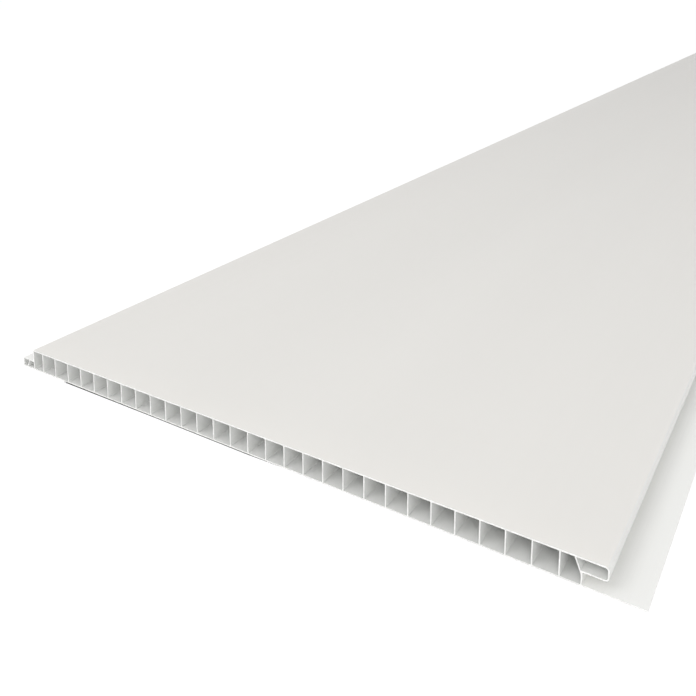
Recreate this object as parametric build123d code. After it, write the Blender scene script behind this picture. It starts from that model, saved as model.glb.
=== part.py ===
from build123d import *
from math import hypot
import os

# Hollow tongue-and-groove wall panel, extruded from white PVC in one piece and sawn to length.
# X runs across the panel from the tongue to the flange, Y along it, and Z out of the wall.
# The origin is on the back plane, half way along, in the middle of the cover width.
# Everything is in millimetres.

# The board
LENGTH = 2700.0
COVER_WIDTH = 250.0  # from the tongue side's wall to the hook's outer face: what one panel covers
THICKNESS = 9.0

# Walls of the extrusion
FACE_SKIN = 0.45
BACK_SKIN = 0.45  # runs on under the tongue and the hook, and past the hook as the flange
SIDE_WALL = 0.5  # the wall that the tongue stands on
WEB_WALL = 0.4  # webs, leg and brace

# Webs, spread evenly between the first and the last at about this pitch
WEB_PITCH = 8.2
FIRST_WEB = 6.5  # side wall's outer face to the first web's middle
LAST_WEB = 6.4  # last web's middle to the leg's middle

# Groove under the hook, which takes the next panel's tongue
GROOVE_HEIGHT = 4.0
GROOVE_DEPTH = 7.4  # hook's outer face to the leg
HOOK_FLOOR = 0.4
HOOK_WALL = 0.4
HOOK_TOP_RADIUS = 1.3
HOOK_BOTTOM_RADIUS = 1.1
GROOVE_RADIUS = 0.3  # between the leg and the hook's underside

# Brace from the leg up to the face skin, leaning away from the hook
BRACE_DROP = 0.9  # the brace leaves the leg this far below the hook's underside
BRACE_LEAN = 2.0

# Tongue, a box with a leaning web inside, which fits the groove with these clearances
TONGUE_TOP_CLEARANCE = 0.1
TONGUE_END_CLEARANCE = 0.4
TONGUE_WALL = 0.4
TONGUE_RADIUS = 0.4
DIVIDER_WALL = 0.35
DIVIDER_LEAN = 1.2

# Flange for staples or screws, covered by the next panel
FLANGE_REACH = 10.7  # past the hook's outer face
FLANGE_EDGE_RADIUS = 0.15

# Small radii of the die
FACE_EDGE_RADIUS = 0.3  # where the face turns down to the side wall
CELL_RADIUS = 0.2  # inside every cell
CORNER_RADIUS = 0.15  # at the leg's foot and where the tongue meets the side wall

# Places that follow from the sizes above
left = -COVER_WIDTH / 2
right = COVER_WIDTH / 2
face_inside = THICKNESS - FACE_SKIN
hook_underside = BACK_SKIN + GROOVE_HEIGHT
hook_floor_top = hook_underside + HOOK_FLOOR
leg_middle = right - GROOVE_DEPTH - WEB_WALL / 2
tongue_reach = GROOVE_DEPTH - TONGUE_END_CLEARANCE
tongue_height = GROOVE_HEIGHT - TONGUE_TOP_CLEARANCE
tongue_inside = tongue_height - TONGUE_WALL


def leaning_face(foot, head, offset, height):
    """X of a leaning wall's face at a height; offset is from its middle line, + to the right."""
    slope = (head[0] - foot[0]) / (head[1] - foot[1])
    return foot[0] + slope * (height - foot[1]) + offset * hypot(1, slope)


def web_middles():
    """X of the upright webs' middles."""
    first = left + FIRST_WEB
    last = leg_middle - LAST_WEB
    spaces = max(1, round((last - first) / WEB_PITCH))
    return [first + (last - first) * n / spaces for n in range(spaces + 1)]


def outline():
    """Corners of the section's outer edge with the radius of each."""
    flange_edge = right + FLANGE_REACH
    tongue_edge = left - tongue_reach
    groove_end = leg_middle + WEB_WALL / 2
    return [
        ((tongue_edge, 0), TONGUE_RADIUS),
        ((flange_edge, 0), FLANGE_EDGE_RADIUS),
        ((flange_edge, BACK_SKIN), FLANGE_EDGE_RADIUS),
        ((groove_end, BACK_SKIN), CORNER_RADIUS),
        ((groove_end, hook_underside), GROOVE_RADIUS),
        ((right, hook_underside), HOOK_BOTTOM_RADIUS),
        ((right, THICKNESS), HOOK_TOP_RADIUS),
        ((left, THICKNESS), FACE_EDGE_RADIUS),
        ((left, tongue_height), CORNER_RADIUS),
        ((tongue_edge, tongue_height), TONGUE_RADIUS),
    ]


def box_cell(x_low, x_high, z_low, z_high):
    """Corners of an upright cell."""
    corners = [(x_low, z_low), (x_high, z_low), (x_high, z_high), (x_low, z_high)]
    return [(corner, CELL_RADIUS) for corner in corners]


def board_cells():
    """The row of upright cells, from the side wall to the last web."""
    half = WEB_WALL / 2
    faces = [left + SIDE_WALL]
    for middle in web_middles():
        faces += [middle - half, middle + half]
    starts = faces[0::2]
    ends = faces[1::2]
    return [box_cell(a, b, BACK_SKIN, face_inside) for a, b in zip(starts, ends)]


def brace_cells():
    """The cell left of the leg and brace, and the hook's own cell right of the brace."""
    half = WEB_WALL / 2
    foot = (leg_middle, hook_underside - BRACE_DROP)
    head = (leg_middle - BRACE_LEAN, face_inside)
    last_web_face = web_middles()[-1] + half
    hook_inside = right - HOOK_WALL
    brace_cell = [
        ((last_web_face, BACK_SKIN), CELL_RADIUS),
        ((leg_middle - half, BACK_SKIN), CELL_RADIUS),
        ((leg_middle - half, foot[1]), CELL_RADIUS),
        ((leaning_face(foot, head, -half, face_inside), face_inside), CELL_RADIUS),
        ((last_web_face, face_inside), CELL_RADIUS),
    ]
    hook_cell = [
        ((leaning_face(foot, head, half, hook_floor_top), hook_floor_top), CELL_RADIUS),
        ((hook_inside, hook_floor_top), max(CELL_RADIUS, HOOK_BOTTOM_RADIUS - HOOK_WALL)),
        ((hook_inside, face_inside), max(CELL_RADIUS, HOOK_TOP_RADIUS - HOOK_WALL)),
        ((leaning_face(foot, head, half, face_inside), face_inside), CELL_RADIUS),
    ]
    return [brace_cell, hook_cell]


def tongue_cells():
    """The tongue's two cells, on either side of its leaning divider."""
    half = DIVIDER_WALL / 2
    middle = left - tongue_reach / 2
    foot = (middle - DIVIDER_LEAN / 2, BACK_SKIN)
    head = (middle + DIVIDER_LEAN / 2, tongue_inside)
    tongue_edge_inside = left - tongue_reach + TONGUE_WALL
    outer_cell = [
        ((tongue_edge_inside, BACK_SKIN), CELL_RADIUS),
        ((leaning_face(foot, head, -half, BACK_SKIN), BACK_SKIN), CELL_RADIUS),
        ((leaning_face(foot, head, -half, tongue_inside), tongue_inside), CELL_RADIUS),
        ((tongue_edge_inside, tongue_inside), CELL_RADIUS),
    ]
    inner_cell = [
        ((leaning_face(foot, head, half, BACK_SKIN), BACK_SKIN), CELL_RADIUS),
        ((left, BACK_SKIN), CELL_RADIUS),
        ((left, tongue_inside), CELL_RADIUS),
        ((leaning_face(foot, head, half, tongue_inside), tongue_inside), CELL_RADIUS),
    ]
    return [outer_cell, inner_cell]


def rounded_face(corners):
    """A flat face with the given corners, each rounded to its radius."""
    points = [point for point, radius in corners]
    radii = [radius for point, radius in corners]
    return make_face(FilletPolyline(*points, radius=radii, close=True).edges())


def wall_panel():
    """The section with every cell cut out of it, drawn out to the panel's length."""
    section = rounded_face(outline())
    for cell in board_cells() + brace_cells() + tongue_cells():
        section -= rounded_face(cell)
    return extrude(Plane.XZ * section, amount=LENGTH / 2, both=True)


os.makedirs("parts", exist_ok=True)
export_step(wall_panel(), "parts/wall_panel.step")
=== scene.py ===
import math

import bpy
from mathutils import Matrix, Vector


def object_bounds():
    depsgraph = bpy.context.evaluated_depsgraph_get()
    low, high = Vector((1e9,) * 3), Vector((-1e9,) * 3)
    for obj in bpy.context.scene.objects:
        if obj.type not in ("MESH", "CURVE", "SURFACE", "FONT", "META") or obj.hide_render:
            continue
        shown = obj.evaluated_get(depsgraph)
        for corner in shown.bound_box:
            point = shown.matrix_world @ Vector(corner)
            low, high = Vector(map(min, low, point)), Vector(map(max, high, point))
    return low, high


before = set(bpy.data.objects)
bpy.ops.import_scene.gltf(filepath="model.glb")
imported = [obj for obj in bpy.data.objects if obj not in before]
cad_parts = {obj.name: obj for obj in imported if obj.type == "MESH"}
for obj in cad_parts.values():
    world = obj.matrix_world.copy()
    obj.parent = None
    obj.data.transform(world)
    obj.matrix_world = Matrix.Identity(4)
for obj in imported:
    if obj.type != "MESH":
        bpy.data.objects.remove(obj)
cad_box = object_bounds()
low, high = cad_box

# The panel, in metres, as the frame gives it: the near end is at low.y and the face at high.z
COVER_WIDTH = 0.250
SIDE_WALL_X = -COVER_WIDTH / 2
CORNER = Vector((SIDE_WALL_X, low.y, 0))  # the side wall's foot at the near end

# The photograph's camera, measured from that corner
IMAGE_SIDE = 696  # pixels
FOCAL_PIXELS = 803.9
CENTRE_ROW = 120.0
CAMERA_FROM_CORNER = Vector((0.2948, -0.2053, 0.1698))
CAMERA_YAW = math.radians(32.36)
CAMERA_PITCH = math.radians(-9.98)
CAMERA_ROLL = math.radians(-0.17)
SENSOR_WIDTH = 36.0  # millimetres
NEAREST_SEEN = 0.01
FARTHEST_SEEN = 100.0


def linear(red, green, blue):
    """A screen colour, 0 to 255, as the linear colour that a shader takes."""
    def channel(value):
        value /= 255
        return value / 12.92 if value <= 0.04045 else ((value + 0.055) / 1.055) ** 2.4
    return (channel(red), channel(green), channel(blue), 1.0)


class Graph:
    """Makes the nodes of a material or world. A value is a number, a colour or another node's output."""

    def __init__(self, owner):
        owner.use_nodes = True
        self.nodes = owner.node_tree.nodes
        self.links = owner.node_tree.links

    def give(self, socket, value):
        """Link the socket to a node's output, or set it to a plain value."""
        if isinstance(value, bpy.types.NodeSocket):
            self.links.new(value, socket)
        else:
            socket.default_value = value

    def add(self, kind, inputs, **settings):
        """A new node's outputs, after its settings and inputs are given."""
        node = self.nodes.new(kind)
        for name, value in settings.items():
            setattr(node, name, value)
        for name, value in inputs.items():
            self.give(node.inputs[name], value)
        return node.outputs

    def number(self, operation, *values):
        """What a Math node makes of the values."""
        return self.add("ShaderNodeMath", dict(enumerate(values)), operation=operation)[0]

    def ramp(self, value, start, end, low_value, high_value):
        """low_value up to start, high_value past end, and smoothly between them."""
        inputs = {
            "Value": value,
            "From Min": start,
            "From Max": end,
            "To Min": low_value,
            "To Max": high_value,
        }
        return self.add("ShaderNodeMapRange", inputs, interpolation_type="SMOOTHSTEP")["Result"]

    def between(self, value, start, end):
        """1 where the value lies from start to end, and 0 elsewhere."""
        above = self.number("GREATER_THAN", value, start)
        below = self.number("LESS_THAN", value, end)
        return self.number("MULTIPLY", above, below)

    def blend(self, share, first, second):
        """A colour that is the first at a share of 0 and the second at 1."""
        inputs = {"Factor": share, "A": first, "B": second}
        return self.add("ShaderNodeMix", inputs, data_type="RGBA")["Result"]

    def noise(self, place, marks, detail=2.0):
        """Noise about 0.5, with so many marks for each metre along X, Y and Z, and finer ones by detail."""
        stretched = self.add("ShaderNodeMapping", {"Vector": place, "Scale": marks})["Vector"]
        return self.add("ShaderNodeTexNoise", {"Vector": stretched, "Scale": 1.0, "Detail": detail})["Fac"]


def make_camera():
    forward = Vector((
        -math.sin(CAMERA_YAW) * math.cos(CAMERA_PITCH),
        math.cos(CAMERA_YAW) * math.cos(CAMERA_PITCH),
        math.sin(CAMERA_PITCH),
    ))
    level_right = Vector((math.cos(CAMERA_YAW), math.sin(CAMERA_YAW), 0))
    level_up = level_right.cross(forward)
    right = level_right * math.cos(CAMERA_ROLL) + level_up * math.sin(CAMERA_ROLL)
    up = level_up * math.cos(CAMERA_ROLL) - level_right * math.sin(CAMERA_ROLL)
    data = bpy.data.cameras.new("photo_camera")
    data.sensor_width = SENSOR_WIDTH
    data.lens = FOCAL_PIXELS / IMAGE_SIDE * SENSOR_WIDTH
    data.shift_y = (CENTRE_ROW - IMAGE_SIDE / 2) / IMAGE_SIDE
    data.clip_start = NEAREST_SEEN
    data.clip_end = FARTHEST_SEEN
    camera = bpy.data.objects.new("photo_camera", data)
    bpy.context.scene.collection.objects.link(camera)
    turn = Matrix((right, up, -forward)).transposed().to_4x4()
    camera.matrix_world = Matrix.Translation(CORNER + CAMERA_FROM_CORNER) @ turn
    bpy.context.scene.camera = camera


# White floor. It mostly glows for the camera and for reflections, so that it renders white and keeps a
# faint shadow. Under the panel it is painted dark as a painted shadow, and it dips by a hair's gap under
# the panel's left part, where that painted shadow gives the thin dark line that the photograph shows there.
FLOOR_HALF = 30.0
FLOOR_WHITE = (0.97, 0.97, 0.97, 1.0)
FLOOR_PAINTED_SHADOW = (0.05, 0.05, 0.05, 1.0)
FLOOR_GLOW = 1.08
FLOOR_GLOW_SHARE = 0.8
FLOOR_DIP = {-0.105: 0.0, -0.103: 0.0006, -0.050: 0.0004, -0.004: 0.0004, 0.016: 0.0}  # depth at each X
COVERED_INSET = 0.0001  # how far inside the panel's outline the floor's glow ends


def make_floor():
    mesh = bpy.data.meshes.new("floor")
    columns = [(-FLOOR_HALF, 0.0), *FLOOR_DIP.items(), (FLOOR_HALF, 0.0)]
    points = [(x, y, -depth) for x, depth in columns for y in (-FLOOR_HALF, FLOOR_HALF)]
    strips = [(2 * n, 2 * n + 2, 2 * n + 3, 2 * n + 1) for n in range(len(columns) - 1)]
    mesh.from_pydata(points, [], strips)
    floor = bpy.data.objects.new("floor", mesh)
    bpy.context.scene.collection.objects.link(floor)
    material = bpy.data.materials.new("floor")
    graph = Graph(material)
    graph.nodes.clear()
    place = graph.add("ShaderNodeTexCoord", {})["Object"]
    x, y, _ = graph.add("ShaderNodeSeparateXYZ", {0: place})
    covered_x = graph.between(x, low.x + COVERED_INSET, high.x - COVERED_INSET)
    covered_y = graph.between(y, low.y + COVERED_INSET, high.y - COVERED_INSET)
    covered = graph.number("MULTIPLY", covered_x, covered_y)
    path = graph.add("ShaderNodeLightPath", {})
    seen = graph.number("MAXIMUM", path["Is Camera Ray"], path["Is Glossy Ray"])
    seen_open = graph.number("MULTIPLY", seen, graph.number("SUBTRACT", 1.0, covered))
    share = graph.number("MULTIPLY", seen_open, FLOOR_GLOW_SHARE)
    # Painted shadow: the floor under the panel takes a dark colour
    colour = graph.blend(covered, FLOOR_WHITE, FLOOR_PAINTED_SHADOW)
    diffuse = graph.add("ShaderNodeBsdfDiffuse", {"Color": colour})[0]
    glow = graph.add("ShaderNodeEmission", {"Strength": FLOOR_GLOW})[0]
    surface = graph.add("ShaderNodeMixShader", {0: share, 1: diffuse, 2: glow})[0]
    graph.add("ShaderNodeOutputMaterial", {"Surface": surface})
    mesh.materials.append(material)


# White surroundings, brighter overhead, which the camera itself sees as plain white, and two soft lamps in
# front of the near end, whose light falls off along the panel
SKY_COLOUR = (1.0, 1.0, 1.0, 1.0)
HORIZON_LEVEL = 0.5
ZENITH_LEVEL = 0.87
LEVEL_SEEN = 1.0
LAMP_SIDE = 0.9
LAMP_AIM_FROM_CORNER = Vector((0.15, 0.15, 0.0))
LAMPS = {  # name: place from the corner, watts
    "softbox_right": (Vector((0.9, -1.4, 0.9)), 10.0),
    "softbox_left": (Vector((-0.6, -1.4, 1.6)), 8.5),
}


def make_light():
    world = bpy.data.worlds.new("studio")
    bpy.context.scene.world = world
    graph = Graph(world)
    direction = graph.add("ShaderNodeTexCoord", {})["Generated"]
    _, _, up = graph.add("ShaderNodeSeparateXYZ", {0: direction})
    levels = {"Value": up, "To Min": HORIZON_LEVEL, "To Max": ZENITH_LEVEL}
    sky = graph.add("ShaderNodeMapRange", levels)["Result"]
    seen = graph.add("ShaderNodeLightPath", {})["Is Camera Ray"]
    choice = {"Factor": seen, "A": sky, "B": LEVEL_SEEN}
    level = graph.add("ShaderNodeMix", choice, data_type="FLOAT")["Result"]
    background = graph.nodes["Background"]
    graph.give(background.inputs["Color"], SKY_COLOUR)
    graph.give(background.inputs["Strength"], level)
    for name, (place, watts) in LAMPS.items():
        data = bpy.data.lights.new(name, "AREA")
        data.shape = "SQUARE"
        data.size = LAMP_SIDE
        data.energy = watts
        lamp = bpy.data.objects.new(name, data)
        bpy.context.scene.collection.objects.link(lamp)
        lamp.location = CORNER + place
        lamp.rotation_mode = "QUATERNION"
        lamp.rotation_quaternion = (LAMP_AIM_FROM_CORNER - place).to_track_quat("-Z", "Y")


# White PVC. The face has a warm satin finish, the rest of the outside is bare, the cells are painted darker
# as painted shade, and a sawn end is paler and rougher. Each has a colour and a shade of it, which a noise
# mixes.
FACE_COLOUR = linear(235, 233, 229)
FACE_SHADE = linear(232, 230, 226)
BARE_COLOUR = linear(242.5, 242.5, 240)
BARE_SHADE = linear(236.5, 236.5, 234)
# Painted shade: the cells take a darker colour than the bare outside, for the shade that falls in them
CELL_PAINTED_SHADE_COLOUR = linear(235.5, 236, 234)
CELL_PAINTED_SHADE_DEEP = linear(230, 230.5, 228.5)
SAWN_COLOUR = linear(246, 246, 244)
SAWN_SHADE = linear(231, 231, 228.5)

# Where each is: the depths under the face at which its finish has gone and at which it starts to fade, the
# depth of a sawn end's colour, and the parts of the section that hold cells, where the colour is painted
# shade
FACE_FADE = (0.0012, 0.0002)
END_DEPTH = 0.0002
HALF_WALL = 0.0002
LEG_X = 0.1174
HOOK_FLOOR_HEIGHT = 0.00465
TONGUE_HEIGHT = 0.0039
CELL_PARTS = [  # lowest and highest X, lowest and highest Z, to the middle of their outer walls
    (SIDE_WALL_X + HALF_WALL, LEG_X, HALF_WALL, high.z - HALF_WALL),
    (LEG_X, -SIDE_WALL_X - HALF_WALL, HOOK_FLOOR_HEIGHT, high.z - HALF_WALL),
    (low.x + HALF_WALL, SIDE_WALL_X + HALF_WALL, HALF_WALL, TONGUE_HEIGHT - HALF_WALL),
]

# Light passes a little way into the plastic, so thin walls glow slightly
SOFT_LIGHT_SHARE = 0.5
SOFT_LIGHT_DEPTH = 0.0006
SOFT_LIGHT_COLOURS = (1.0, 1.0, 1.0)  # red, green and blue go equally deep

# Roughness: satin, which varies a little with the die lines and in clouds, and rougher where it is sawn
SATIN_ROUGHNESS = (0.46, 0.54)
SAWN_ROUGHNESS = 0.75

# Relief: faint lines that the die draws along the panel, a slight sink of the face over each web, a satin
# grain and saw marks. Marks are for each metre along X, Y and Z, and depths are in metres.
FIRST_WEB_X = -0.1185
LAST_WEB_X = 0.1110
WEB_COUNT = 29
SINK_HALF_WIDTH = 0.0022
SINK_DEPTH = 0.00004
DIE_MARKS = (1400.0, 0.7, 1400.0)
DIE_DEPTH = 0.000006
SATIN_MARKS = (2600.0, 2600.0, 2600.0)
SATIN_DETAIL = 3.0
SATIN_DEPTH = 0.0000012
CLOUD_MARKS = (16.0, 1.5, 16.0)
SAW_MARKS = (900.0, 900.0, 500.0)
SAW_DETAIL = 4.0
SAW_DEPTH = 0.00002

# The span of a noise over which it goes from all of one thing to all of the other
TORN_SPAN = (0.35, 0.65)
ROUGH_SPAN = (0.3, 0.7)


def make_material():
    material = bpy.data.materials.new("white_pvc")
    graph = Graph(material)
    place = graph.add("ShaderNodeTexCoord", {})["Object"]
    x, y, z = graph.add("ShaderNodeSeparateXYZ", {0: place})

    fade_start, fade_end = FACE_FADE
    on_face = graph.ramp(z, high.z - fade_start, high.z - fade_end, 0.0, 1.0)
    on_end = graph.number("GREATER_THAN", graph.number("ABSOLUTE", y), high.y - END_DEPTH)
    # The cells' parts, where the darker colour is painted shade
    inside = 0.0
    for left, right, bottom, top in CELL_PARTS:
        in_part = graph.number("MULTIPLY", graph.between(x, left, right), graph.between(z, bottom, top))
        inside = graph.number("MAXIMUM", inside, in_part)

    die = graph.noise(place, DIE_MARKS)
    cloud = graph.noise(place, CLOUD_MARKS)
    satin = graph.noise(place, SATIN_MARKS, SATIN_DETAIL)
    saw = graph.noise(place, SAW_MARKS, SAW_DETAIL)

    torn = graph.ramp(saw, *TORN_SPAN, 0.0, 1.0)
    face = graph.blend(cloud, FACE_SHADE, FACE_COLOUR)
    bare = graph.blend(die, BARE_SHADE, BARE_COLOUR)
    cell_painted_shade = graph.blend(die, CELL_PAINTED_SHADE_DEEP, CELL_PAINTED_SHADE_COLOUR)
    sawn = graph.blend(torn, SAWN_SHADE, SAWN_COLOUR)
    colour = graph.blend(on_face, bare, face)
    # Painted shade in the cells
    colour = graph.blend(inside, colour, cell_painted_shade)
    colour = graph.blend(on_end, colour, sawn)

    uneven = graph.number("MULTIPLY_ADD", die, 0.5, graph.number("MULTIPLY", cloud, 0.5))
    satin_rough = graph.ramp(uneven, *ROUGH_SPAN, *SATIN_ROUGHNESS)
    sawn_rough = graph.number("MULTIPLY", on_end, SAWN_ROUGHNESS)
    roughness = graph.number("MAXIMUM", satin_rough, sawn_rough)

    spacing = (LAST_WEB_X - FIRST_WEB_X) / (WEB_COUNT - 1)
    from_web = graph.number("PINGPONG", graph.number("SUBTRACT", x, FIRST_WEB_X), spacing / 2)
    sink = graph.ramp(from_web, 0.0, SINK_HALF_WIDTH, -SINK_DEPTH, 0.0)
    height = graph.number("MULTIPLY", sink, on_face)
    height = graph.number("MULTIPLY_ADD", die, DIE_DEPTH, height)
    height = graph.number("MULTIPLY_ADD", satin, SATIN_DEPTH, height)
    height = graph.number("MULTIPLY_ADD", graph.number("MULTIPLY", saw, on_end), SAW_DEPTH, height)
    normal = graph.add("ShaderNodeBump", {"Height": height, "Distance": 1.0})["Normal"]

    shader = graph.nodes["Principled BSDF"]
    graph.give(shader.inputs["Base Color"], colour)
    graph.give(shader.inputs["Roughness"], roughness)
    graph.give(shader.inputs["Normal"], normal)
    graph.give(shader.inputs["Subsurface Weight"], SOFT_LIGHT_SHARE)
    graph.give(shader.inputs["Subsurface Scale"], SOFT_LIGHT_DEPTH)
    graph.give(shader.inputs["Subsurface Radius"], SOFT_LIGHT_COLOURS)
    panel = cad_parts["wall_panel"]
    panel.data.materials.clear()
    panel.data.materials.append(material)


bpy.context.scene.view_settings.view_transform = "Standard"
make_camera()
make_floor()
make_light()
make_material()
